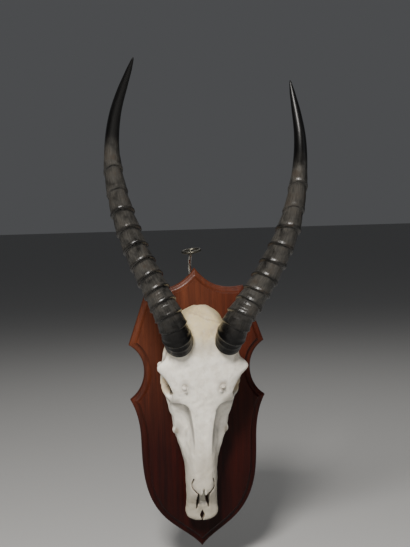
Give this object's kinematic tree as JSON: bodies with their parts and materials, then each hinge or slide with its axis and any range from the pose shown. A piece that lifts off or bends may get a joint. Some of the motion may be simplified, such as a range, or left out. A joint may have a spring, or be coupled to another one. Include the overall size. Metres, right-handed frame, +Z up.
{
  "type": "skull on a shield",
  "caption": "Bleached blesbok skull with ringed black horns, fixed to a heraldic wooden shield that hangs on a wall by a bent metal eye",
  "frame": {"origin": "the middle of the shield's flat back, in the plane of the wall", "axes": "+Z up along the wall, +Y into the wall, +X to the right of a viewer who faces the skull"},
  "size_m": [0.2451, 0.2665, 0.6493],
  "materials": {
    "shield_wood": "satin varnish",
    "bleached_bone": "matt",
    "horn_sheath": "satin, polished towards the tips",
    "plated_wire": "bright plated"
  },
  "bodies": {
    "root": {"plaque": "shield_wood", "skull": "bleached_bone", "horn_left": "horn_sheath", "horn_right": "horn_sheath", "hanging_eye": "plated_wire"}
  },
  "joints": []
}
